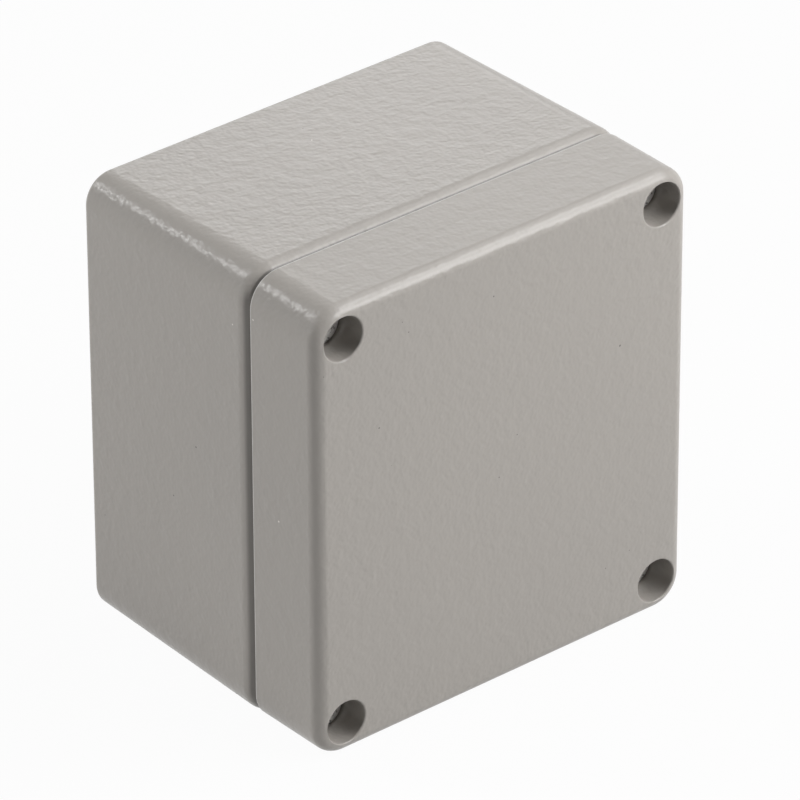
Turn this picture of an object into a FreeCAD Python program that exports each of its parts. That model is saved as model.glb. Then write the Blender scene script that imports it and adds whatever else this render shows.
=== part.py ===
import FreeCAD, Part
import math
import os

# Die cast aluminium box with a screwed lid, in millimetres, +Z up and +X to the right.
# It stands on its bottom side: the lid faces -Y, and the side that goes to a wall faces +Y.
# The origin is on the standing surface, under the middle of the box.

# Outer form of the two castings
box_width = 75.0
box_height = 80.0
box_depth = 57.0
lid_depth = 15.5
base_draft = 1.0  # degrees, the base narrows towards the wall
lid_draft = 0.5  # degrees, the lid narrows towards its face
corner_radius = 5.5
lid_inset = 0.1  # the lid's outline lies inside the base's by this
rim_radius = 2.7  # rounding of the base's rim, which makes the dark groove at the joint
back_radius = 1.0
lid_rim_radius = 0.3
lid_face_radius = 2.1

# Walls, cavity and rib under the seal
rim_wall = 4.5
base_floor = 4.0
lid_face_wall = 3.0
cavity_draft = 0.5  # degrees
cavity_corner = 2.0
cavity_floor_round = 1.0
least_corner = 1.5  # of the smaller outlines inside the cavity's
lid_floor_round = 1.0
rib_width = 1.3
rib_height = 1.2
rib_land = 0.55  # metal between the rib and a fixing well

# Seal in the lid's groove
groove_clearance = 0.45  # from the rib to each side of the groove
groove_depth = 3.0
seal_clearance = 0.1
lid_lip = 1.5  # wall between the groove and the lid's cavity

# Lid screws, M4 with a plain neck, and the rings that keep them in the lid
screw_inset = 5.75  # from the box's widest outline to the middle of a screw
well_radius = 3.7
well_mouth_round = 0.3
head_depth = 5.2  # from the lid's face down to the top of a screw head
screw_head_radius = 3.5
screw_head_height = 2.6
screw_length = 22.0
screw_travel = 7.6  # way out until the thread meets its ring
neck_radius = 1.55
thread_radius = 2.0
thread_clearance = 0.05
screw_hole_depth = 18.0
lid_hole_radius = 2.25
ring_radius = 3.5
ring_thickness = 1.0
ring_recess = 0.2  # from the ring to the joint
ring_clearance = 0.05
ring_bore_clearance = 0.1
screw_turns = {"top_left": 47.0, "top_right": 43.0, "bottom_left": 54.0, "bottom_right": 33.0}

# Wall fixing through the base, outside the seal
fixing_inset = 6.5  # from the outline at the side to the middle of a well
fixing_step = 8.25  # from a lid screw down or up to the well beside it
fixing_well_radius = 3.7
fixing_hole_radius = 2.25
fixing_web = 4.0
core_radius = 3.0  # pocket in the lid over each fixing well
core_depth = 9.0

# Bosses on the floor of the base, tapped M4
boss_inset_x = 18.5
boss_inset_z = 15.0
boss_radius = 3.5
boss_height = 6.0
boss_draft = 1.0  # degrees
boss_root_round = 0.8
boss_hole_radius = 1.65
boss_hole_depth = 7.0
mouth_chamfer = 0.4

# Earth terminal on the floor of the base
earth_inset = 11.0
earth_boss_radius = 4.2
earth_head_radius = 4.0
earth_head_height = 2.7
earth_screw_length = 8.0
earth_hole_depth = 7.0
earth_turn = 20.0  # degrees
clamp_width = 8.4
clamp_thickness = 1.0
clamp_lip = 1.5
clamp_clearance = 0.3  # from the boss to each lip
spring_washer_radius = 3.55
spring_washer_bore = 2.2
spring_washer_thickness = 0.9
spring_washer_split = 0.7

# Recess of every screw head: a slot crossed by a tapered cross
slot_width = 1.2
slot_depth = 1.2
cross_reach = 2.3
cross_width = 1.0
cross_depth = 1.8
cross_taper = 0.45  # size of the cross at its bottom, as a share of its top
head_round = 0.45
point_chamfer = 0.5

# Places that follow from the sizes above
front_y = -box_depth / 2
back_y = box_depth / 2
joint_y = front_y + lid_depth
middle_z = box_height / 2
floor_y = back_y - base_floor
boss_top_y = floor_y - boss_height
head_top_y = front_y + head_depth
head_seat_y = head_top_y + screw_head_height
screw_x = box_width / 2 - screw_inset
screw_z = box_height / 2 - screw_inset
fixing_x = box_width / 2 - fixing_inset
fixing_z = screw_z - fixing_step
boss_x = box_width / 2 - boss_inset_x
boss_z = box_height / 2 - boss_inset_z
earth_x = box_width / 2 - earth_inset
notch_radius = fixing_well_radius + rib_land + rib_width
ring_y = joint_y - ring_recess - ring_thickness
out = FreeCAD.Vector(0, -1, 0)


def slope(degrees):
    return math.tan(math.radians(degrees))


def point(x, y, z):
    return FreeCAD.Vector(x, y, middle_z + z)


def unit(vector):
    return vector * (1 / vector.Length)


def outline(corners, y):
    # Closed wire in the plane at y through square corners (x, z, radius), z from the box's middle
    arcs = []
    for i, (x, z, radius) in enumerate(corners):
        before = corners[i - 1]
        after = corners[(i + 1) % len(corners)]
        corner = point(x, y, z)
        enter = unit(corner - point(before[0], y, before[1]))
        leave = unit(point(after[0], y, after[1]) - corner)
        start = corner - enter * radius
        centre = start + leave * radius
        arcs.append((start, centre + unit(corner - centre) * radius, corner + leave * radius))
    edges = []
    for i, (start, middle, end) in enumerate(arcs):
        last = arcs[i - 1][2]
        if last.distanceToPoint(start) > 1e-6:  # two roundings may meet with no straight between
            edges.append(Part.LineSegment(last, start).toShape())
        edges.append(Part.Arc(start, middle, end).toShape())
    return Part.Wire(edges)


def box_outline(grow):
    half_x = box_width / 2 + grow
    half_z = box_height / 2 + grow
    return [(sx * half_x, sz * half_z, corner_radius + grow) for sx, sz in quarters()]


def quarters():
    return ((1, 1), (-1, 1), (-1, -1), (1, -1))


def cavity_outline(grow):
    # Plus shape, whose inward corners run round the fixing wells
    side = box_width / 2 - rim_wall + grow
    end = box_height / 2 - rim_wall + grow
    notch_x = fixing_x - notch_radius + grow
    notch_z = fixing_z - notch_radius + grow
    outward = max(cavity_corner + grow, least_corner)
    inward = min(notch_radius - grow, side - notch_x - outward)
    quarter = [(side, notch_z, outward), (notch_x, notch_z, inward), (notch_x, end, outward)]
    corners = []
    for sx, sz in quarters():
        turned = [(sx * x, sz * z, radius) for x, z, radius in quarter]
        corners += turned if sx == sz else turned[::-1]
    return corners


def drafted(shape, y_a, grow_a, y_b, grow_b):
    # Solid between an outline at y_a and the same outline, grown differently, at y_b
    wires = [outline(shape(grow_a), y_a), outline(shape(grow_b), y_b)]
    return Part.makeLoft(wires, True, True)


def edges_at(solid, y):
    return [e for e in solid.Edges if all(abs(v.Y - y) < 1e-6 for v in e.Vertexes)]


def rod(x, z, radius, y_a, y_b):
    return Part.makeCylinder(radius, y_b - y_a, point(x, y_a, z), FreeCAD.Vector(0, 1, 0))


def taper(x, z, radius_a, y_a, radius_b, y_b):
    return Part.makeCone(radius_a, radius_b, y_b - y_a, point(x, y_a, z), FreeCAD.Vector(0, 1, 0))


def tapped_hole(x, z, radius, y, depth):
    # Blind hole that opens towards the lid, with a chamfered mouth
    mouth = taper(x, z, radius + mouth_chamfer, y, radius, y + mouth_chamfer)
    return rod(x, z, radius, y, y + depth).fuse(mouth)


def corner_places(x, z):
    return [(sx * x, sz * z) for sx, sz in quarters()]


def boss(x, z, radius):
    # Tapered boss that stands on a disc sunk in the floor, with a rounding where the two meet
    root_radius = radius + slope(boss_draft) * boss_height
    foot = rod(x, z, root_radius + 2 * boss_root_round, floor_y, floor_y + base_floor / 2)
    stem = taper(x, z, radius, boss_top_y, root_radius, floor_y).fuse(foot)
    roots = [e for e in edges_at(stem, floor_y) if e.BoundBox.XLength < 2 * root_radius + boss_root_round]
    return stem.makeFillet(boss_root_round, roots)


def base_casting():
    # The widest line is where the rim's rounding starts, so the sharp rim would lie a little outside it
    rounding_run = rim_radius / slope((90 - base_draft) / 2) * math.cos(math.radians(base_draft))
    rim_grow = slope(base_draft) * rounding_run
    back_grow = rim_grow - slope(base_draft) * (back_y - joint_y)
    body = drafted(box_outline, joint_y, rim_grow, back_y, back_grow)
    body = body.makeFillet(rim_radius, edges_at(body, joint_y))
    body = body.makeFillet(back_radius, edges_at(body, back_y))
    body = body.fuse(drafted(cavity_outline, joint_y - rib_height, rib_width, joint_y + rib_height, rib_width))
    body = body.cut(base_cavity())
    for x, z in corner_places(boss_x, boss_z):
        body = body.fuse(boss(x, z, boss_radius))
    body = body.fuse(boss(earth_x, 0, earth_boss_radius))
    return body.cut(Part.makeCompound(base_holes())).removeSplitter()


def base_cavity():
    # The tool starts above the rib, so that the rib's inner side is one face with the wall
    mouth_y = joint_y - 2 * rib_height
    shrink = slope(cavity_draft) * (floor_y - joint_y)
    widen = slope(cavity_draft) * (joint_y - mouth_y)
    tool = drafted(cavity_outline, mouth_y, widen, floor_y, -shrink)
    return tool.makeFillet(cavity_floor_round, edges_at(tool, floor_y))


def base_holes():
    holes = []
    for x, z in corner_places(screw_x, screw_z):
        holes.append(tapped_hole(x, z, thread_radius + thread_clearance, joint_y, screw_hole_depth))
    for x, z in corner_places(fixing_x, fixing_z):
        well = rod(x, z, fixing_well_radius, joint_y, back_y - fixing_web)
        holes.append(well.fuse(rod(x, z, fixing_hole_radius, joint_y, back_y)))
    for x, z in corner_places(boss_x, boss_z):
        holes.append(tapped_hole(x, z, boss_hole_radius, boss_top_y, boss_hole_depth))
    holes.append(tapped_hole(earth_x, 0, thread_radius + thread_clearance, boss_top_y, earth_hole_depth))
    return holes


def lid_casting():
    rim_grow = -lid_inset
    face_grow = rim_grow - slope(lid_draft) * lid_depth
    body = drafted(box_outline, front_y, face_grow, joint_y, rim_grow)
    body = body.makeFillet(lid_face_radius, edges_at(body, front_y))
    body = body.makeFillet(lid_rim_radius, edges_at(body, joint_y))
    body = body.cut(Part.makeCompound([lid_cavity(), seal_groove()]))
    for x, z in corner_places(fixing_x, fixing_z):
        body = body.cut(rod(x, z, core_radius, joint_y - core_depth, joint_y))
    for x, z in corner_places(screw_x, screw_z):
        body = body.cut(screw_well(x, z))
        body = body.cut(rod(x, z, lid_hole_radius, head_seat_y, joint_y))
        body = body.cut(rod(x, z, ring_radius + ring_clearance, ring_y, joint_y))
    return body


def screw_well(x, z):
    # Round well whose mouth widens along a quarter arc
    wide = well_radius + well_mouth_round
    straight_y = front_y + well_mouth_round
    middle_r = wide - well_mouth_round * math.sin(math.radians(45))
    middle_y = straight_y - well_mouth_round * math.cos(math.radians(45))
    mouth = Part.Arc(point(wide, front_y, 0), point(middle_r, middle_y, 0), point(well_radius, straight_y, 0))
    sides = Part.makePolygon(
        [point(well_radius, straight_y, 0), point(well_radius, head_seat_y, 0), point(0, head_seat_y, 0)]
        + [point(0, front_y, 0), point(wide, front_y, 0)]
    )
    well = Part.Face(Part.Wire([mouth.toShape()] + sides.Edges)).revolve(point(0, 0, 0), out, 360)
    well.translate(FreeCAD.Vector(x, 0, z))
    return well


def lid_cavity():
    inner_y = front_y + lid_face_wall
    mouth_grow = -groove_clearance - lid_lip
    shrink = slope(cavity_draft) * (joint_y - inner_y)
    tool = drafted(cavity_outline, inner_y, mouth_grow - shrink, joint_y, mouth_grow)
    return tool.makeFillet(lid_floor_round, edges_at(tool, inner_y))


def ring_between(grow_outside, grow_inside, y_a, y_b):
    outside = drafted(cavity_outline, y_a, grow_outside, y_b, grow_outside)
    return outside.cut(drafted(cavity_outline, y_a, grow_inside, y_b, grow_inside))


def seal_groove():
    return ring_between(rib_width + groove_clearance, -groove_clearance, joint_y - groove_depth, joint_y)


def lid_seal():
    # Fills the groove from its bottom to the tip of the rib
    side = groove_clearance - seal_clearance
    return ring_between(rib_width + side, -side, joint_y - groove_depth, joint_y - rib_height)


def head_recess(turn, reach, top_y):
    # Slot and cross about the origin's Y axis, cut from top_y towards +Y and turned about that axis
    slot = Part.makeBox(2 * reach, slot_depth, slot_width, FreeCAD.Vector(-reach, top_y, -slot_width / 2))
    arms = [slot]
    for quarter in (0, 90):
        wires = []
        for share, y in ((1.0, top_y), (cross_taper, top_y + cross_depth)):
            half_x = cross_reach * share
            half_z = cross_width / 2 * share
            corners = [(half_x, half_z), (-half_x, half_z), (-half_x, -half_z), (half_x, -half_z)]
            wires.append(Part.makePolygon([FreeCAD.Vector(x, y, z) for x, z in corners + corners[:1]]))
        arm = Part.makeLoft(wires, True, True)
        arm.rotate(FreeCAD.Vector(0, 0, 0), out, quarter)
        arms.append(arm)
    recess = arms[0].fuse(arms[1:])
    recess.rotate(FreeCAD.Vector(0, 0, 0), out, turn)
    return recess


def machine_screw(x, z, seat_y, head_radius, head_height, length, neck_length, turn):
    # Round head against -Y of seat_y, then a plain neck, then the thread's outer form with a chamfered point
    top_y = seat_y - head_height
    end_y = seat_y + length
    thread_y = seat_y + neck_length
    head = Part.makeCylinder(head_radius, head_height, FreeCAD.Vector(0, top_y, 0), FreeCAD.Vector(0, 1, 0))
    head = head.makeFillet(head_round, edges_at(head, top_y))
    head = head.cut(head_recess(-turn, head_radius * 2, top_y))
    head.translate(point(x, 0, z))
    point_y = end_y - point_chamfer
    pieces = [
        rod(x, z, thread_radius, thread_y, point_y),
        taper(x, z, thread_radius, point_y, thread_radius - point_chamfer, end_y),
    ]
    if neck_length > 0:
        pieces.append(rod(x, z, neck_radius, seat_y, thread_y))
    return head.fuse(pieces).removeSplitter()


def retaining_ring(x, z):
    bore = neck_radius + ring_bore_clearance
    ring = rod(x, z, ring_radius, ring_y, ring_y + ring_thickness)
    return ring.cut(rod(x, z, bore, ring_y, ring_y + ring_thickness))


def earth_clamp():
    # Square plate on the boss, with a lip down each side that keeps the wire under it
    top_y = boss_top_y - clamp_thickness
    half_z = earth_boss_radius + clamp_clearance + clamp_thickness
    corner = point(earth_x - clamp_width / 2, top_y, -half_z)
    plate = Part.makeBox(clamp_width, clamp_thickness + clamp_lip, 2 * half_z, corner)
    inner_z = half_z - clamp_thickness
    under = point(earth_x - clamp_width / 2, boss_top_y, -inner_z)
    plate = plate.cut(Part.makeBox(clamp_width, clamp_lip, 2 * inner_z, under))
    bends = [e for e in edges_at(plate, top_y) if e.BoundBox.XLength > clamp_width / 2]
    plate = plate.makeFillet(clamp_thickness * 0.7, bends)
    return plate.cut(rod(earth_x, 0, spring_washer_bore, top_y, boss_top_y))


def spring_washer():
    bottom_y = boss_top_y - clamp_thickness
    top_y = bottom_y - spring_washer_thickness
    ring = rod(earth_x, 0, spring_washer_radius, top_y, bottom_y)
    ring = ring.cut(rod(earth_x, 0, spring_washer_bore, top_y, bottom_y))
    corner = point(earth_x - spring_washer_split / 2, top_y, 0)
    return ring.cut(Part.makeBox(spring_washer_split, spring_washer_thickness, 2 * spring_washer_radius, corner))


def earth_screw():
    seat_y = boss_top_y - clamp_thickness - spring_washer_thickness
    return machine_screw(
        earth_x, 0, seat_y, earth_head_radius, earth_head_height, earth_screw_length, 0, earth_turn
    )


def all_parts():
    parts = {"base_casting": base_casting(), "lid_casting": lid_casting(), "lid_seal": lid_seal()}
    neck_length = joint_y - ring_recess + screw_travel - head_seat_y
    for name, turn in screw_turns.items():
        x = -screw_x if "left" in name else screw_x
        z = -screw_z if "bottom" in name else screw_z
        parts["lid_screw_" + name] = machine_screw(
            x, z, head_seat_y, screw_head_radius, screw_head_height, screw_length, neck_length, turn
        )
        parts["screw_ring_" + name] = retaining_ring(x, z)
    parts["earth_screw"] = earth_screw()
    parts["earth_spring_washer"] = spring_washer()
    parts["earth_clamp"] = earth_clamp()
    return parts


os.makedirs("parts", exist_ok=True)
for name, shape in all_parts().items():
    shape.exportStep("parts/" + name + ".step")
    print(name, "solids", len(shape.Solids), "valid", shape.isValid(), "volume", round(shape.Volume, 1))
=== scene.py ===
import bpy
import bmesh
import math
from mathutils import Matrix, Vector


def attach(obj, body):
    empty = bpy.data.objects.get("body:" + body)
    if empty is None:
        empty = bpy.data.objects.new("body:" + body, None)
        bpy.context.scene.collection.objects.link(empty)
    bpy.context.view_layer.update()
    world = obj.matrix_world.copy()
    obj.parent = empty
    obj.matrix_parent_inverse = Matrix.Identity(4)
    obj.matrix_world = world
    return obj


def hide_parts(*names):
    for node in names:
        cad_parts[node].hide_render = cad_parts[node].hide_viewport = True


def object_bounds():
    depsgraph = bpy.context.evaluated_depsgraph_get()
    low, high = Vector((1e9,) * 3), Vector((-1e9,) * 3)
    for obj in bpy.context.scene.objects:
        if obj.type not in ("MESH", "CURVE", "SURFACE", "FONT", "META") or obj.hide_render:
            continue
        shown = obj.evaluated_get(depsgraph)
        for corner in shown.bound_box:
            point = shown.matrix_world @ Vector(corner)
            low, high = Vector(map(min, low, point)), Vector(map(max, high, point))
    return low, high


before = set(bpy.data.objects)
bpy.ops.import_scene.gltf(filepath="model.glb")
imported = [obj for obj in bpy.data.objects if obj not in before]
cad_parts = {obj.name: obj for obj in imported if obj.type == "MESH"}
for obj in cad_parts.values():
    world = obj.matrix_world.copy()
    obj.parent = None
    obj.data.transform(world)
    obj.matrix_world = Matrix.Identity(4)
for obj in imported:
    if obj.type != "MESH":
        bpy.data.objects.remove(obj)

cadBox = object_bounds()
mm = 0.001
fullTurn = 2 * math.pi
print("box: castings loaded,", len(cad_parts), "nodes")

# Places on the box, worked out from the loaded castings and these sizes

boxSizes = {
    "lidDepth": 15.5 * mm,
    "lidWall": 3.0 * mm,
    "screwInset": 5.75 * mm,  # from the widest outline to the middle of a lid screw
    "headDepth": 5.2 * mm,  # from the lid's face down to the top of a screw head
    "baseFloor": 4.0 * mm,
    "bossHeight": 6.0 * mm,
    "bossInsetX": 18.5 * mm,
    "bossInsetZ": 15.0 * mm,
    "earthInset": 11.0 * mm,
    "clampThickness": 1.0 * mm,
    "springWasherThickness": 0.9 * mm,
}
threadPitch = 0.7 * mm
threadLead = 100.0  # whole turns that keep a thread's count above zero

boxLow, boxHigh = ([round(value, 6) for value in corner] for corner in cadBox)
middleZ = (boxLow[2] + boxHigh[2]) / 2
halfWidth, halfHeight = boxHigh[0], boxHigh[2] - middleZ
faceY, backY = boxLow[1], boxHigh[1]
jointY = faceY + boxSizes["lidDepth"]
lidFloorY = faceY + boxSizes["lidWall"]
headTopY = faceY + boxSizes["headDepth"]
floorY = backY - boxSizes["baseFloor"]
bossTopY = floorY - boxSizes["bossHeight"]
screwX, screwZ = halfWidth - boxSizes["screwInset"], halfHeight - boxSizes["screwInset"]
bossX, bossZ = halfWidth - boxSizes["bossInsetX"], halfHeight - boxSizes["bossInsetZ"]
earthX = halfWidth - boxSizes["earthInset"]


class Signal:
    # A node's output socket that can be used in sums
    def __init__(self, graph, socket):
        self.graph = graph
        self.socket = socket

    def worked(self, operation, *values):
        return self.graph.node("ShaderNodeMath", {"operation": operation}, dict(enumerate(values)))

    def __add__(self, other):
        return self.worked("ADD", self, other)

    __radd__ = __add__

    def __sub__(self, other):
        return self.worked("SUBTRACT", self, other)

    def __rsub__(self, other):
        return self.worked("SUBTRACT", other, self)

    def __mul__(self, other):
        return self.worked("MULTIPLY", self, other)

    __rmul__ = __mul__

    def __truediv__(self, other):
        return self.worked("DIVIDE", self, other)

    def __gt__(self, other):
        return self.worked("GREATER_THAN", self, other)

    def __abs__(self):
        return self.worked("ABSOLUTE", self)

    def most(self, other):
        return self.worked("MAXIMUM", self, other)

    def least(self, other):
        return self.worked("MINIMUM", self, other)

    def share(self):
        # Held between 0 and 1
        return self.least(1.0).most(0.0)

    def folded(self, run):
        return self.worked("PINGPONG", self, run)

    def sine(self):
        return self.worked("SINE", self)

    def cosine(self):
        return self.worked("COSINE", self)

    def rounded(self):
        return self.worked("ROUND", self)

    def root(self):
        return self.worked("SQRT", self)

    def angleFrom(self, other):
        return self.worked("ARCTAN2", self, other)


class Graph:
    def __init__(self, tree):
        self.tree = tree

    def node(self, kind, settings=None, inputs=None, output=0):
        made = self.tree.nodes.new(kind)
        for name, value in (settings or {}).items():
            setattr(made, name, value)
        for key, value in (inputs or {}).items():
            for item in value if isinstance(value, list) else [value]:
                if isinstance(item, Signal):
                    self.tree.links.new(item.socket, made.inputs[key])
                else:
                    made.inputs[key].default_value = item
        return Signal(self, made.outputs[output]) if made.outputs else None

    def others(self, signal, output):
        return Signal(self, signal.socket.node.outputs[output])

    def parts(self, vector):
        x = self.node("ShaderNodeSeparateXYZ", {}, {0: vector})
        return x, self.others(x, 1), self.others(x, 2)


def grey(level):
    return (level, level, level, 1)


def reach(a, b):
    return (a * a + b * b).root()


def within(value, low, high, soft):
    # 1 between low and high, falling to 0 over a soft edge
    rise = ((value - (low - soft / 2)) / soft).share()
    fall = (((high + soft / 2) - value) / soft).share()
    return rise * fall


def near(value, middle, half, soft):
    return within(value, middle - half, middle + half, soft)


# What all finishes share

def newMaterial(name):
    material = bpy.data.materials.new(name)
    material.use_nodes = True
    material.node_tree.nodes.clear()
    return material, Graph(material.node_tree)


def finishMaterial(graph, surface):
    graph.node("ShaderNodeOutputMaterial", {}, {"Surface": surface})


def mixColour(graph, share, first, second):
    return graph.node("ShaderNodeMix", {"data_type": "RGBA"}, {0: share, 6: first, 7: second}, 2)


def noise(graph, vector, scale, detail=2.0, roughness=0.5, distortion=0.0):
    inputs = {"Vector": vector, "Scale": scale, "Detail": detail, "Roughness": roughness}
    return graph.node("ShaderNodeTexNoise", {}, {**inputs, "Distortion": distortion})


class Spot:
    # Where a point of a piece lies: its place, x, y, and height above the middle of the box
    def __init__(self, graph):
        self.place = graph.node("ShaderNodeTexCoord", {}, {}, "Object")
        self.x, self.y, z = graph.parts(self.place)
        self.up = z - middleZ


def bumped(graph, height):
    return graph.node("ShaderNodeBump", {}, {"Strength": 1.0, "Distance": 1.0, "Height": height})


def dress(node, material):
    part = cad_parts[node]
    part.data.materials.clear()
    part.data.materials.append(material)


# Castings: grey paint outside, bare metal inside and on the joint faces

paintLook = {
    "colour": (0.404, 0.378, 0.348, 1),
    "shade": (0.386, 0.363, 0.338, 1),
    "driftScale": 28.0,
    "roughness": 0.31,
    "roughnessDrift": 0.06,
    "specular": 0.45,
    "waveScale": 520.0,
    "waveHeight": 0.09 * mm,
    "peelScale": 1500.0,
    "peelHeight": 0.045 * mm,
    "widestY": jointY + 1.5 * mm,  # the upper side falls away from here both ways
    "sideSlope": math.tan(math.radians(1)),
    "edgeRun": 0.25 * mm,  # the coat changes over this run at the upper side and the face
    "faceDepth": 0.3 * mm,
    "heavyFace": 0.4,  # how much more the coat waves on the lid's face
    "heavyBrow": 0.6,  # and along the two upper side edges
    "browInsetX": 3.1 * mm,
    "browInsetZ": 3.8 * mm,
    "browRun": 0.5 * mm,
    "rimHighlight": (0.60, 0.585, 0.56, 1),  # painted highlight along the lid's rim edge
    "rimHighlightHalf": 0.17 * mm,
    "rimHighlightSoft": 0.08 * mm,
    "paintedShade": (0.055, 0.051, 0.047, 1),  # painted shade down in the wells and in the joint's gap
}

speckLook = {
    "cell": 6.0 * mm,
    "radius": 0.13 * mm,
    "soft": 0.04 * mm,
    "cover": 0.8,
    "glintFrom": 0.45,
    # the colour of the painted glints
    "light": (0.82, 0.80, 0.76, 1),
    "dark": (0.12, 0.115, 0.11, 1),
}

borderLook = {"scale": 180.0, "wander": 0.5 * mm, "wanderY": 0.3, "soft": 0.08 * mm}

bareLook = {
    "colour": (0.60, 0.60, 0.595, 1),
    "stain": (0.44, 0.44, 0.445, 1),
    "stainScale": 75.0,
    "stainCover": 0.8,
    "roughness": 0.42,
    "stainRoughness": 0.2,
    "castScale": 1500.0,
    "castHeight": 0.018 * mm,
    "milled": grey(0.72),
    "milledSmoother": 0.12,
    "milledHeight": 0.002 * mm,
    "milledHalf": 0.05 * mm,
    "milledPitch": 0.35 * mm,
    "milledLay": (0.94, 0.34),
    "threadHeight": 0.3 * mm,
    "threadSoft": 0.05 * mm,
    "pinHalf": 0.12 * mm,
    "pinHeight": 0.08 * mm,
    "pinShade": grey(0.25),
    "pinFaceHalf": 0.06 * mm,
    "sharp": 0.02 * mm,
}

jointShadeLook = {
    "startY": jointY + 1.85 * mm,
    "fullY": jointY + 1.25 * mm,
    "sideCover": 0.5,
    "topInset": 4.5 * mm,
    "topRun": 2.0 * mm,
    "topStartY": jointY + 1.05 * mm,
    "topFade": 0.2 * mm,
    "topCover": 0.6,
}

wellShadeLook = {
    "radius": 3.8 * mm,
    "soft": 0.02 * mm,
    "startY": faceY + 0.05 * mm,
    "fullY": headTopY - 1.0 * mm,
    "roofShade": 0.4,
    "deepShade": 0.4,
    "least": 0.05,
    "mouthShare": 0.05,  # part of the depth over which the cover grows to full
}


def jointPaintedShade(spot):
    # Painted shade in the joint: below the top the inner half of the rim's rounding is darkened, along the
    # top only its deepest part
    deep = ((spot.y - jointShadeLook["startY"]) / (jointShadeLook["fullY"] - jointShadeLook["startY"])).share()
    below = 1 - ((spot.up - (halfHeight - jointShadeLook["topInset"])) / jointShadeLook["topRun"]).share()
    gap = ((jointShadeLook["topStartY"] - spot.y) / jointShadeLook["topFade"]).share()
    return deep * below * jointShadeLook["sideCover"] + gap * (1 - below) * jointShadeLook["topCover"]


def wellPaintedShade(spot):
    # Painted shade in a well, darkest on its roof and towards its bottom
    deep = ((spot.y - wellShadeLook["startY"]) / (wellShadeLook["fullY"] - wellShadeLook["startY"])).share()
    apartX, apartZ = abs(spot.x) - screwX, spot.up - ((spot.up > 0) * 2 - 1) * screwZ
    inside = within(reach(apartX, apartZ), -1.0, wellShadeLook["radius"], wellShadeLook["soft"])
    roof = apartZ * (wellShadeLook["roofShade"] / wellShadeLook["radius"])
    shaded = (roof + deep * wellShadeLook["deepShade"] - wellShadeLook["least"]).share()
    return shaded * inside * (deep / wellShadeLook["mouthShare"]).least(1.0)


def coatWeight(spot, heavyTop):
    # How strongly the coat waves at each place, against 1 on the plain sides
    sideHeight = halfHeight - abs(spot.y - paintLook["widestY"]) * paintLook["sideSlope"]
    top = (1 - (sideHeight - spot.up) / paintLook["edgeRun"]).share()
    face = ((faceY + paintLook["faceDepth"] - spot.y) / paintLook["edgeRun"]).share()
    browX = ((abs(spot.x) - (halfWidth - paintLook["browInsetX"])) / paintLook["browRun"]).share()
    browZ = ((spot.up - (halfHeight - paintLook["browInsetZ"])) / paintLook["browRun"]).share()
    return 1 + top * heavyTop + browX * browZ * paintLook["heavyBrow"] + face * paintLook["heavyFace"]


def speckled(graph, place, body):
    # A few specks, one to a cell: the light ones are painted glints, the dark ones flecks in the paint
    cells = graph.node("ShaderNodeTexVoronoi", {}, {"Vector": place, "Scale": 1 / speckLook["cell"]})
    chance = graph.node("ShaderNodeSeparateColor", {}, {0: graph.others(cells, "Color")})
    radius = speckLook["radius"] * (0.5 + chance)
    speck = within(cells * speckLook["cell"], -1.0, radius, speckLook["soft"])
    isPaintedGlint = graph.others(chance, 1) > speckLook["glintFrom"]
    colour = mixColour(graph, isPaintedGlint, speckLook["dark"], speckLook["light"])
    return mixColour(graph, speck * speckLook["cover"], body, colour)


def paintSkin(graph, spot, places):
    # Slow waves under a finer orange peel
    wave = noise(graph, spot.place, paintLook["waveScale"], detail=1.0, distortion=0.2) - 0.5
    peel = noise(graph, spot.place, paintLook["peelScale"], detail=0.5) - 0.5
    height = wave * paintLook["waveHeight"] + peel * paintLook["peelHeight"]
    drift = noise(graph, spot.place, paintLook["driftScale"])
    colour = speckled(graph, spot.place, mixColour(graph, drift, paintLook["colour"], paintLook["shade"]))
    # A painted highlight along the lid's rim edge
    if "rimHighlightY" in places:
        highlighted = near(spot.y, places["rimHighlightY"], paintLook["rimHighlightHalf"], paintLook["rimHighlightSoft"])
        colour = mixColour(graph, highlighted, colour, paintLook["rimHighlight"])
    # Painted shade darkens the colour: in the base's joint, and down in the lid's wells
    return graph.node("ShaderNodeBsdfPrincipled", {}, {
        "Base Color": mixColour(graph, places["paintedShade"](spot), colour, paintLook["paintedShade"]),
        "Metallic": 0.0,
        "Roughness": paintLook["roughness"] + (drift - 0.5) * paintLook["roughnessDrift"],
        "Specular IOR Level": paintLook["specular"],
        "Normal": bumped(graph, height * coatWeight(spot, places["heavyTop"])),
    })


def threadRidge(spot, thread):
    apartX, apartZ = abs(spot.x) - thread["x"], abs(spot.up) - thread["z"]
    turn = apartX.angleFrom(apartZ) / fullTurn
    crest = (spot.y / threadPitch - turn + threadLead).folded(0.5) * 2
    inside = within(reach(apartX, apartZ), -1.0, thread["radius"], bareLook["sharp"])
    return crest * inside * within(spot.y, thread["lowY"], thread["highY"], bareLook["threadSoft"])


def pinRing(spot, pin):
    fromPin = reach(abs(spot.x) - pin["x"], abs(spot.up) - pin["z"])
    face = near(spot.y, pin["y"], bareLook["pinFaceHalf"], bareLook["sharp"])
    return face * near(fromPin, pin["radius"], bareLook["pinHalf"], bareLook["pinHalf"])


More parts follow.
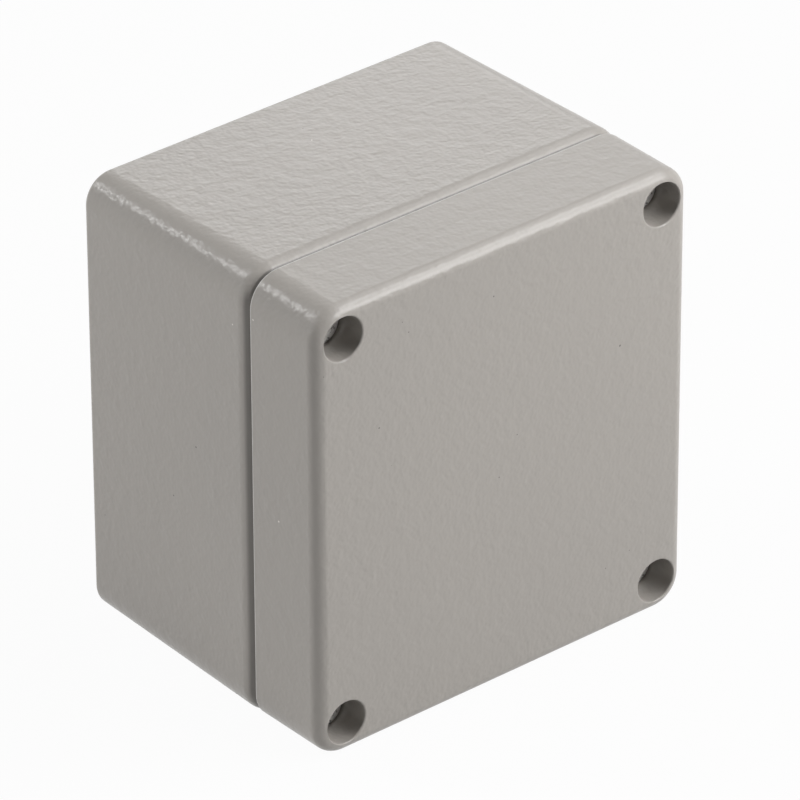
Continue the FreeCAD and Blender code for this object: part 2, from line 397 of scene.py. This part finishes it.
def bareSkin(graph, spot, places):
    # Cast skin with flow marks, milled joint face, threads and ejector pin marks
    cast = noise(graph, spot.place, bareLook["castScale"], detail=3.0, roughness=0.6)
    stain = noise(graph, spot.place, bareLook["stainScale"], detail=4.0, roughness=0.62, distortion=0.8)
    milled = near(spot.y, jointY, bareLook["milledHalf"], bareLook["sharp"])
    layX, layZ = bareLook["milledLay"]
    lay = ((spot.x * layX + spot.up * layZ) * (fullTurn / bareLook["milledPitch"])).sine()
    ridge = sum(threadRidge(spot, thread) for thread in places["threads"])
    rings = sum(pinRing(spot, pin) for pin in places["pins"])
    height = cast * bareLook["castHeight"] * (1 - milled) + milled * lay * bareLook["milledHeight"]
    height = height + ridge * bareLook["threadHeight"] + rings * bareLook["pinHeight"]
    colour = mixColour(graph, stain * bareLook["stainCover"], bareLook["colour"], bareLook["stain"])
    colour = mixColour(graph, (rings * 0.5).least(1.0), colour, bareLook["pinShade"])
    roughness = bareLook["roughness"] + (stain - 0.5) * bareLook["stainRoughness"]
    return graph.node("ShaderNodeBsdfPrincipled", {}, {
        "Base Color": mixColour(graph, milled, colour, bareLook["milled"]),
        "Metallic": 1.0,
        "Roughness": roughness - milled * bareLook["milledSmoother"],
        "Normal": bumped(graph, height),
    })


def bareShare(graph, spot, zones):
    # 1 inside any of the zones, whose border wanders as masking does
    wander = (noise(graph, spot.place, borderLook["scale"], detail=1.0) - 0.5) * borderLook["wander"]
    soft = borderLook["soft"]
    shares = []
    for zone in zones:
        corner = zone["corner"]
        overX = (abs(spot.x) - (zone["halfX"] - corner)).most(0.0)
        overZ = (abs(spot.up) - (zone["halfZ"] - corner)).most(0.0)
        across = within(reach(overX, overZ) + wander, -1.0, corner, soft)
        inward = within(spot.y + wander * borderLook["wanderY"], zone["lowY"], zone["highY"], soft)
        shares.append(across * inward)
    bare = shares[0]
    for share in shares[1:]:
        bare = bare.most(share)
    return bare


def paintedCasting(name, places):
    material, graph = newMaterial(name)
    spot = Spot(graph)
    bare = bareShare(graph, spot, places["bareZones"])
    paint = paintSkin(graph, spot, places)
    metal = bareSkin(graph, spot, places)
    finishMaterial(graph, graph.node("ShaderNodeMixShader", {}, {0: bare, 1: paint, 2: metal}))
    return material


basePlaces = {
    "bareZones": [{
        "halfX": halfWidth - 2.6 * mm, "halfZ": halfHeight - 2.6 * mm, "corner": 3.0 * mm,
        "lowY": jointY - 1.5 * mm, "highY": backY - 1.0 * mm,
    }],
    "threads": [
        {
            "x": screwX, "z": screwZ, "radius": 2.3 * mm,
            "lowY": jointY + 0.5 * mm, "highY": jointY + 17.5 * mm,
        },
        {
            "x": bossX, "z": bossZ, "radius": 1.9 * mm,
            "lowY": bossTopY + 0.5 * mm, "highY": bossTopY + 6.7 * mm,
        },
    ],
    "pins": [
        {"x": 10.0 * mm, "z": 12.0 * mm, "radius": 2.2 * mm, "y": floorY},
        {"x": 10.0 * mm, "z": 33.0 * mm, "radius": 2.2 * mm, "y": floorY},
    ],
    "paintedShade": jointPaintedShade,
    "heavyTop": 0.3,  # how much more the coat waves on the flat of the upper side
}
lidPlaces = {
    "bareZones": [
        {
            "halfX": halfWidth - 3.3 * mm, "halfZ": halfHeight - 10.7 * mm, "corner": 1.0 * mm,
            "lowY": lidFloorY - 0.2 * mm, "highY": jointY + 1.0 * mm,
        },
        {
            "halfX": halfWidth - 0.8 * mm, "halfZ": halfHeight - 0.8 * mm, "corner": 4.8 * mm,
            "lowY": jointY - 4.9 * mm, "highY": jointY + 1.0 * mm,
        },
    ],
    "threads": [],
    "pins": [
        {"x": 12.0 * mm, "z": 14.0 * mm, "radius": 2.2 * mm, "y": lidFloorY},
        {"x": 26.0 * mm, "z": 12.0 * mm, "radius": 1.8 * mm, "y": lidFloorY},
    ],
    "paintedShade": wellPaintedShade,
    "rimHighlightY": jointY - 0.17 * mm,
    "heavyTop": -0.2,
}

dress("base_casting", paintedCasting("greyPaintedBase", basePlaces))
dress("lid_casting", paintedCasting("greyPaintedLid", lidPlaces))
print("box: castings painted")


# Seal: black closed sponge

spongeLook = {
    "colour": (0.022, 0.022, 0.024, 1),
    "bloom": (0.05, 0.05, 0.052, 1),
    "bloomScale": 120.0,
    "roughness": 0.68,
    "bloomRoughness": 0.16,
    "specular": 0.35,
    "pore": 0.45 * mm,
    "poreWall": 0.55,
    "poreHeight": 0.05 * mm,
    "fineScale": 5000.0,
    "fineHeight": 0.01 * mm,
}


def spongeRubber():
    look = spongeLook
    material, graph = newMaterial("blackSpongeRubber")
    place = Spot(graph).place
    pores = graph.node("ShaderNodeTexVoronoi", {}, {"Vector": place, "Scale": 1 / look["pore"]})
    fine = noise(graph, place, look["fineScale"])
    bloom = noise(graph, place, look["bloomScale"], detail=3.0)
    height = pores.least(look["poreWall"]) * look["poreHeight"] + fine * look["fineHeight"]
    surface = graph.node("ShaderNodeBsdfPrincipled", {}, {
        "Base Color": mixColour(graph, bloom, look["colour"], look["bloom"]),
        "Roughness": look["roughness"] + bloom * look["bloomRoughness"],
        "Specular IOR Level": look["specular"],
        "Normal": bumped(graph, height),
    })
    finishMaterial(graph, surface)
    return material


dress("lid_seal", spongeRubber())


# Rings behind the lid: natural nylon, turned

nylonLook = {
    "colour": (0.62, 0.59, 0.50, 1),
    "shade": (0.55, 0.52, 0.43, 1),
    "shadeScale": 420.0,
    "roughness": 0.42,
    "shadeRoughness": 0.1,
    "glow": 0.15,
    "glowDepth": 0.5 * mm,
    "turnedPitch": 0.16 * mm,
    "turnedHeight": 0.004 * mm,
}


def naturalNylon():
    look = nylonLook
    material, graph = newMaterial("naturalNylon")
    spot = Spot(graph)
    fromScrew = reach(abs(spot.x) - screwX, abs(spot.up) - screwZ)
    turned = (fromScrew * (fullTurn / look["turnedPitch"])).sine()
    cloud = noise(graph, spot.place, look["shadeScale"])
    surface = graph.node("ShaderNodeBsdfPrincipled", {}, {
        "Base Color": mixColour(graph, cloud, look["colour"], look["shade"]),
        "Roughness": look["roughness"] + cloud * look["shadeRoughness"],
        "Subsurface Weight": look["glow"],
        "Subsurface Scale": look["glowDepth"],
        "Normal": bumped(graph, turned * look["turnedHeight"]),
    })
    finishMaterial(graph, surface)
    return material


nylon = naturalNylon()
for corner in ("top_left", "top_right", "bottom_left", "bottom_right"):
    dress("screw_ring_" + corner, nylon)


# Earth clamp and spring washer: pressed from rolled strip, with fine lines along the strip and soft stains

stripLook = {
    "stretch": (6500.0, 6500.0, 160.0),
    "stainScale": 380.0,
    "stainRoughness": 0.12,
    "lineRoughness": 0.06,
    "lineHeight": 0.006 * mm,
}
brassLook = {"colour": (0.72, 0.53, 0.24, 1), "shade": (0.56, 0.40, 0.17, 1), "roughness": 0.26}
zincStripLook = {"colour": (0.60, 0.61, 0.62, 1), "shade": (0.48, 0.48, 0.50, 1), "roughness": 0.3}


def stampedMetal(name, look):
    material, graph = newMaterial(name)
    place = Spot(graph).place
    strip = graph.node("ShaderNodeMapping", {}, {"Vector": place, "Scale": stripLook["stretch"]})
    lines = noise(graph, strip, 1.0, detail=3.0, roughness=0.6)
    stain = noise(graph, place, stripLook["stainScale"], detail=3.0, roughness=0.6)
    wear = stain * stripLook["stainRoughness"] + lines * stripLook["lineRoughness"]
    surface = graph.node("ShaderNodeBsdfPrincipled", {}, {
        "Base Color": mixColour(graph, stain, look["colour"], look["shade"]),
        "Metallic": 1.0,
        "Roughness": look["roughness"] + wear,
        "Normal": bumped(graph, lines * stripLook["lineHeight"]),
    })
    finishMaterial(graph, surface)
    return material


dress("earth_clamp", stampedMetal("plainBrass", brassLook))
dress("earth_spring_washer", stampedMetal("zincStrip", zincStripLook))
print("box: seal, rings and clamp dressed")


# Machine screws, turned round local +Y with the head's top at the origin

screwSizes = {
    "threadRadius": 2.0 * mm,
    "rootRadius": 1.56 * mm,
    "ringsPerTurn": 8,
    "crestSharpness": 2.3,
    "topRings": (0, 0.5, 0.8),  # shares of the head's radius
    "headRound": 0.45 * mm,
    "roundSteps": 6,
    "seatChamfer": 0.12 * mm,
    "neckRound": 0.1 * mm,
    "point": 0.5 * mm,
    "slotWidth": 1.2 * mm,
    "slotDepth": 1.2 * mm,
    "crossReach": 2.3 * mm,
    "crossWidth": 1.0 * mm,
    "crossDepth": 1.8 * mm,
    "crossTaper": 0.45,
    "segments": 40,
    "weld": 0.002 * mm,
    "sharpFrom": math.radians(32),
}

lidScrew = {
    "headRadius": 3.5 * mm, "headHeight": 2.6 * mm, "length": 22.0 * mm,
    "neck": 15.1 * mm, "neckRadius": 1.55 * mm,
}
earthScrew = {
    "headRadius": 4.0 * mm, "headHeight": 2.7 * mm, "length": 8.0 * mm,
    "neck": 0.0, "neckRadius": 1.56 * mm,
}


def headPoints(size):
    # From the middle of the head's top, round its edge and down to the chamfer at its seat
    radius, seat = size["headRadius"], size["headHeight"]
    rounding, chamfer = screwSizes["headRound"], screwSizes["seatChamfer"]
    points = [(radius * share, 0, 0) for share in screwSizes["topRings"]]
    for step in range(screwSizes["roundSteps"] + 1):
        angle = math.radians(90 - 90 / screwSizes["roundSteps"] * step)
        edge = radius - rounding + rounding * math.cos(angle)
        points.append((edge, rounding - rounding * math.sin(angle), 0))
    return points + [(radius, seat - chamfer, 0), (radius - chamfer, seat, 0)]


def neckPoints(size):
    radius, seat, rounding = size["neckRadius"], size["headHeight"], screwSizes["neckRound"]
    return [(radius + rounding, seat, 0), (radius, seat + rounding, 0), (radius, seat + size["neck"], 0)]


def threadPoints(size):
    # The thread runs out towards the neck and towards the point
    start = size["headHeight"] + size["neck"]
    end = size["headHeight"] + size["length"]
    tip = screwSizes["threadRadius"] - screwSizes["point"]
    step = threadPitch / screwSizes["ringsPerTurn"]
    points = []
    for ring in range(1, math.floor((end - start) / step)):
        along = start + ring * step
        outer = min(screwSizes["threadRadius"], tip + (end - along), size["neckRadius"] + ring * step)
        root = min(screwSizes["rootRadius"], outer)
        points.append((root, along, outer - root))
    return points + [(tip, end, 0), (0, end, 0)]


def screwProfile(name, size):
    # Each point holds a radius, its way along the screw, and the room for the thread's crest
    points = headPoints(size) + (neckPoints(size) if size["neck"] else []) + threadPoints(size)
    mesh = bpy.data.meshes.new(name)
    mesh.from_pydata(points, [(i, i + 1) for i in range(len(points) - 1)], [])
    return mesh


def vector(graph, x, y, z):
    return graph.node("ShaderNodeCombineXYZ", {}, {0: x, 1: y, 2: z})


def position(graph):
    return graph.node("GeometryNodeInputPosition")


def lathe(graph, profile, given):
    # The profile turned round +Y: a grid's rows are the profile's points, its columns the steps of the turn
    count = graph.node("GeometryNodeAttributeDomainSize", {}, {0: profile})
    grid = graph.node("GeometryNodeMeshGrid", {}, {
        "Size X": 1.0, "Size Y": 1.0, "Vertices X": count, "Vertices Y": given("Segments") + 1,
    })
    gridX, gridY = graph.parts(position(graph))[:2]
    row = ((gridX + 0.5) * (count - 1)).rounded()
    angle = (gridY + 0.5) * fullTurn
    point = graph.node("GeometryNodeSampleIndex", {"data_type": "FLOAT_VECTOR"}, {
        0: profile, "Value": position(graph), "Index": row,
    })
    radius, along, room = graph.parts(point)
    spiral = along / given("Pitch") - angle / fullTurn + threadLead
    crest = (spiral.folded(0.5) * screwSizes["crestSharpness"]).least(1.0)
    outer = radius + room * crest
    turned = graph.node("GeometryNodeSetPosition", {}, {
        "Geometry": grid, "Position": vector(graph, outer * angle.sine(), along, outer * angle.cosine()),
    })
    welded = graph.node("GeometryNodeMergeByDistance", {}, {
        "Geometry": turned, "Distance": screwSizes["weld"],
    })
    return graph.node("GeometryNodeFlipFaces", {}, {0: welded})


def recessCutters(graph, given):
    # A slot, and a cross whose arms narrow with depth
    slot = graph.node("GeometryNodeMeshCube", {}, {
        "Size": vector(graph, given("Slot Reach") * 2, given("Slot Depth") * 2, given("Slot Width")),
    })
    block = graph.node("GeometryNodeMeshCube", {}, {
        "Size": vector(graph, given("Cross Reach") * 2, given("Cross Depth") * 2, given("Cross Width")),
    })
    along, depth, across = graph.parts(position(graph))
    narrow = 1 - (1 - given("Cross Taper")) * depth / given("Cross Depth")
    arm = graph.node("GeometryNodeSetPosition", {}, {
        "Geometry": block, "Position": vector(graph, along * narrow, depth, across * narrow),
    })
    quarter = (0, math.radians(90), 0)
    return [slot, arm, graph.node("GeometryNodeTransform", {}, {"Geometry": arm, "Rotation": quarter})]


def machineScrewTree():
    tree = bpy.data.node_groups.new("machineScrew", "GeometryNodeTree")
    graph = Graph(tree)
    sockets = {
        "Profile": "Geometry", "Segments": "Int", "Pitch": "Float",
        "Slot Reach": "Float", "Slot Width": "Float", "Slot Depth": "Float",
        "Cross Reach": "Float", "Cross Width": "Float", "Cross Depth": "Float", "Cross Taper": "Float",
        "Turn": "Float", "Place": "Vector", "Finish": "Material",
    }
    for name, kind in sockets.items():
        tree.interface.new_socket(name, in_out="INPUT", socket_type="NodeSocket" + kind)
    tree.interface.new_socket("Screw", in_out="OUTPUT", socket_type="NodeSocketGeometry")
    profile = graph.node("NodeGroupInput", {}, {}, "Profile")

    def given(name):
        return graph.others(profile, name)

    screw = graph.node("GeometryNodeMeshBoolean", {"operation": "DIFFERENCE", "solver": "EXACT"}, {
        "Mesh 1": lathe(graph, profile, given), "Mesh 2": recessCutters(graph, given),
    })
    perPoint = {"data_type": "FLOAT_VECTOR", "domain": "POINT"}
    screw = graph.node("GeometryNodeStoreNamedAttribute", perPoint, {
        "Geometry": screw, "Name": "local", "Value": position(graph),
    })
    aboutAxis = vector(graph, 0.0, given("Turn"), 0.0)
    screw = graph.node("GeometryNodeTransform", {}, {
        "Geometry": screw, "Rotation": aboutAxis, "Translation": given("Place"),
    })
    screw = graph.node("GeometryNodeRealizeInstances", {}, {"Geometry": screw})
    screw = graph.node("GeometryNodeSetMaterial", {}, {"Geometry": screw, "Material": given("Finish")})
    graph.node("NodeGroupOutput", {}, {0: screw})
    return tree


steelLook = {
    "topDepth": 0.3 * mm,
    "topSoft": 0.05 * mm,
    "topRoughness": 0.08,
    "turnedPitch": 0.11 * mm,
    "turnedHeight": 0.0025 * mm,
    "markScale": 900.0,
    "markHeight": 0.06 * mm,
    "markRoughness": 0.12,
    "dirtFrom": 0.55,
    "dirtSharpness": 9.0,
    "dirtCover": 0.95,
    "recessDepths": (0.25 * mm, 1.9 * mm),
    "recessRadius": 2.9 * mm,
    "recessSoft": 0.3 * mm,
    "recessShade": 0.7,
    "fineScale": 4200.0,
    "fineHeight": 0.007 * mm,
}
# Each look's stain colour serves the dirt and, as painted shade, the recess; its top colour is partly a
# painted highlight
stainlessLook = {
    "colour": (0.56, 0.55, 0.53, 1), "top": (0.86, 0.85, 0.83, 1),
    "stain": (0.04, 0.038, 0.036, 1), "roughness": 0.3,
}
zincLook = {
    "colour": (0.60, 0.62, 0.64, 1), "top": (0.64, 0.66, 0.68, 1),
    "stain": (0.10, 0.10, 0.10, 1), "roughness": 0.22,
}


def screwSteel(name, look):
    # Turned head top, whose lighter steel is partly a painted highlight, with dirt in its marks and painted
    # shade in the recess
    material, graph = newMaterial(name)
    local = graph.node("ShaderNodeAttribute", {"attribute_name": "local"}, {}, "Vector")
    x, y, z = graph.parts(local)
    fromAxis = reach(x, z)
    top = within(y, -1.0, steelLook["topDepth"], steelLook["topSoft"])
    turned = (fromAxis * (fullTurn / steelLook["turnedPitch"])).sine() * top
    marks = noise(graph, local, steelLook["markScale"], detail=3.0, roughness=0.65, distortion=0.6)
    dirt = ((marks - steelLook["dirtFrom"]) * steelLook["dirtSharpness"]).share()
    lowY, highY = steelLook["recessDepths"]
    recess = within(y, lowY, highY, steelLook["recessSoft"])
    recess = recess * within(fromAxis, -1.0, steelLook["recessRadius"], steelLook["recessSoft"])
    # Dirt in the turned marks, plus painted shade in the recess
    dark = dirt * steelLook["dirtCover"] * top + recess * steelLook["recessShade"]
    dark = dark.least(steelLook["dirtCover"])
    fine = noise(graph, local, steelLook["fineScale"])
    height = turned * steelLook["turnedHeight"] + fine * steelLook["fineHeight"]
    roughness = look["roughness"] + marks * steelLook["markRoughness"]
    # Lighter steel on the head's top, partly a painted highlight
    metal = mixColour(graph, top, look["colour"], look["top"])
    surface = graph.node("ShaderNodeBsdfPrincipled", {}, {
        "Base Color": mixColour(graph, dark, metal, look["stain"]),
        "Metallic": 1.0,
        "Roughness": roughness + top * steelLook["topRoughness"],
        "Normal": bumped(graph, height + marks * top * steelLook["markHeight"]),
    })
    finishMaterial(graph, surface)
    return material


screwTree = machineScrewTree()
stainless = screwSteel("brightStainless", stainlessLook)
zinc = screwSteel("zincPlatedSteel", zincLook)


def smoothed(mesh):
    shaped = bmesh.new()
    shaped.from_mesh(mesh)
    bmesh.ops.recalc_face_normals(shaped, faces=shaped.faces)
    shaped.to_mesh(mesh)
    shaped.free()
    for face in mesh.polygons:
        face.use_smooth = True
    mesh.set_sharp_from_angle(angle=screwSizes["sharpFrom"])
    return mesh


def makeScrew(name, size, place, turn, finish):
    # place is the middle of the head's top, turn is clockwise seen from the lid
    piece = bpy.data.objects.new(name, screwProfile(name + "Profile", size))
    bpy.context.scene.collection.objects.link(piece)
    modifier = piece.modifiers.new("machineScrew", "NODES")
    modifier.node_group = screwTree
    values = {
        "Segments": screwSizes["segments"], "Pitch": threadPitch, "Slot Reach": size["headRadius"] * 2,
        "Slot Width": screwSizes["slotWidth"], "Slot Depth": screwSizes["slotDepth"],
        "Cross Reach": screwSizes["crossReach"], "Cross Width": screwSizes["crossWidth"],
        "Cross Depth": screwSizes["crossDepth"], "Cross Taper": screwSizes["crossTaper"],
        "Turn": math.radians(turn), "Place": place, "Finish": finish,
    }
    for item in screwTree.interface.items_tree:
        if item.name in values:
            modifier[item.identifier] = values[item.name]
    bpy.context.view_layer.update()
    evaluated = piece.evaluated_get(bpy.context.evaluated_depsgraph_get())
    mesh = bpy.data.meshes.new_from_object(evaluated)
    piece.modifiers.remove(modifier)
    piece.data = smoothed(mesh)
    return piece


lidScrewTurns = {"top_left": 137.0, "top_right": 133.0, "bottom_left": 144.0, "bottom_right": 123.0}
for corner, turn in lidScrewTurns.items():
    screwPlaceX = -screwX if "left" in corner else screwX
    screwPlaceZ = middleZ + (-screwZ if "bottom" in corner else screwZ)
    screwPlace = (screwPlaceX, headTopY, screwPlaceZ)
    screw = makeScrew("screw_" + corner + "_threaded", lidScrew, screwPlace, turn, stainless)
    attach(screw, "screw_" + corner)
    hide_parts("lid_screw_" + corner)
    print("box:", screw.name, len(screw.data.polygons), "faces")

earthScrewTurn = 20.0
earthSeatY = bossTopY - boxSizes["clampThickness"] - boxSizes["springWasherThickness"]
earthPlace = (earthX, earthSeatY - earthScrew["headHeight"], middleZ)
earthPiece = makeScrew("earth_screw_threaded", earthScrew, earthPlace, earthScrewTurn, zinc)
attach(earthPiece, "earth_screw")
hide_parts("earth_screw")
print("box: earth screw made")


# Floor, world, lamps and camera

studio = {
    "floorSize": 3.0,
    "floorColour": grey(0.6),
    "floorGlow": 0.96,  # the rest of the floor shows the shadow
    "ambient": grey(0.95),
    "ambientStrength": 0.02,
}

# Two lamps light the left side without being mirrored in the paint
lamps = {
    "keyHigh": {"direction": (0.547, 0.12, 0.828), "distance": 1.0, "size": 0.36, "power": 1.1},
    "key": {"direction": (0.547, -0.34, 0.765), "distance": 1.0, "size": 0.3, "power": 3.1},
    "front": {"direction": (0.45, -0.78, 0.5), "distance": 0.54, "size": 0.27, "power": 2.06},
    "backRight": {"direction": (0.57, 0.72, 0.38), "distance": 1.0, "size": 0.3, "power": 0.68},
    "backLeft": {"direction": (-0.44, 0.66, 0.61), "distance": 1.0, "size": 0.12, "power": 1.6},
    "left": {
        "direction": (-0.90, 0.42, 0.14), "distance": 1.0, "size": 0.9, "power": 3.5, "mirrored": False,
    },
    "leftHigh": {
        "direction": (-0.72, 0.64, 0.22), "distance": 1.0, "size": 0.9, "power": 3.7, "mirrored": False,
    },
}

view = {
    "azimuth": -39.6485,
    "elevation": 30.9170,
    "roll": -0.2195,
    "lens": 347.832,
    "sensor": 36.0,
    "distance": 1210.078 * mm,
    "aside": -2.1355 * mm,
    "above": 1.3947 * mm,
}


def seenRays(graph):
    path = graph.node("ShaderNodeLightPath", {}, {}, "Is Camera Ray")
    return path.most(graph.others(path, "Is Glossy Ray")).most(graph.others(path, "Is Transmission Ray"))


def makeFloor():
    material, graph = newMaterial("whiteFloor")
    plain = graph.node("ShaderNodeBsdfDiffuse", {}, {"Color": studio["floorColour"]})
    glow = graph.node("ShaderNodeEmission", {}, {"Color": grey(1.0), "Strength": 1.0})
    share = seenRays(graph) * studio["floorGlow"]
    finishMaterial(graph, graph.node("ShaderNodeMixShader", {}, {0: share, 1: plain, 2: glow}))
    half = studio["floorSize"] / 2
    mesh = bpy.data.meshes.new("floor")
    corners = [(-half, -half, 0), (half, -half, 0), (half, half, 0), (-half, half, 0)]
    mesh.from_pydata(corners, [], [(0, 1, 2, 3)])
    mesh.materials.append(material)
    floor = bpy.data.objects.new("floor", mesh)
    bpy.context.scene.collection.objects.link(floor)


def makeWorld():
    world = bpy.data.worlds.new("studio")
    world.use_nodes = True
    world.node_tree.nodes.clear()
    graph = Graph(world.node_tree)
    fillLight = {"Color": studio["ambient"], "Strength": studio["ambientStrength"]}
    fill = graph.node("ShaderNodeBackground", {}, fillLight)
    white = graph.node("ShaderNodeBackground", {}, {"Color": grey(1.0), "Strength": 1.0})
    mixed = graph.node("ShaderNodeMixShader", {}, {0: seenRays(graph), 1: fill, 2: white})
    graph.node("ShaderNodeOutputWorld", {}, {"Surface": mixed})
    bpy.context.scene.world = world


def makeLamp(name, look):
    light = bpy.data.lights.new(name, "AREA")
    light.shape = "SQUARE"
    light.size = look["size"]
    light.energy = look["power"]
    lamp = bpy.data.objects.new(name, light)
    lamp.visible_glossy = look.get("mirrored", True)
    bpy.context.scene.collection.objects.link(lamp)
    toward = Vector(look["direction"]).normalized()
    lamp.location = Vector((0, 0, middleZ)) + toward * look["distance"]
    lamp.rotation_euler = toward.to_track_quat("Z", "Y").to_euler()


def makeCamera():
    around, height, roll = (math.radians(view[key]) for key in ("azimuth", "elevation", "roll"))
    level = Vector((math.cos(around), math.sin(around), 0))
    inward = Vector((-math.sin(around), math.cos(around), 0))
    back = Vector((0, 0, 1)) * math.sin(height) - inward * math.cos(height)
    upright = back.cross(level)
    right = level * math.cos(roll) + upright * math.sin(roll)
    above = upright * math.cos(roll) - level * math.sin(roll)
    camera = bpy.data.objects.new("camera", bpy.data.cameras.new("camera"))
    bpy.context.scene.collection.objects.link(camera)
    camera.data.lens = view["lens"]
    camera.data.sensor_width = view["sensor"]
    camera.data.sensor_fit = "HORIZONTAL"
    eye = back * view["distance"] - right * view["aside"] - above * view["above"] + Vector((0, 0, middleZ))
    camera.matrix_world = Matrix((
        (right.x, above.x, back.x, eye.x),
        (right.y, above.y, back.y, eye.y),
        (right.z, above.z, back.z, eye.z),
        (0, 0, 0, 1),
    ))
    bpy.context.scene.camera = camera


makeFloor()
makeWorld()
for lampName, lampLook in lamps.items():
    makeLamp(lampName, lampLook)
makeCamera()
bpy.context.scene.view_settings.view_transform = "Standard"
print("box: studio ready")
